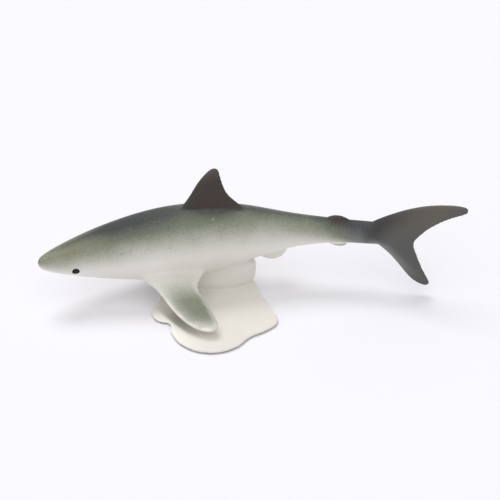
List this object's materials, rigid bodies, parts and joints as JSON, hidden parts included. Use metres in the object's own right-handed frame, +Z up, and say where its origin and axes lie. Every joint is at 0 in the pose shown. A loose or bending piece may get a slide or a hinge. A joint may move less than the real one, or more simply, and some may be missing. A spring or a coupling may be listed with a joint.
{
  "type": "shark figurine",
  "caption": "Small satin porcelain shark in a gentle swimming bend, fused by a low pedestal to a thin lobed base plate.",
  "frame": {"origin": "on the flat underside of the base plate, below the pedestal", "axes": "+Z up; +X along the shark from snout to tail; -Y is the side that the base plate reaches out to and that the shark curves towards"},
  "size_m": [0.1111, 0.0579, 0.0358],
  "materials": {
    "ceramic": "unglazed satin porcelain: sprayed slate grey-green back fading to a warm white belly, dark grey-brown fins, bare warm white base"
  },
  "bodies": {
    "root": {"shark_figurine": "ceramic"}
  },
  "joints": []
}
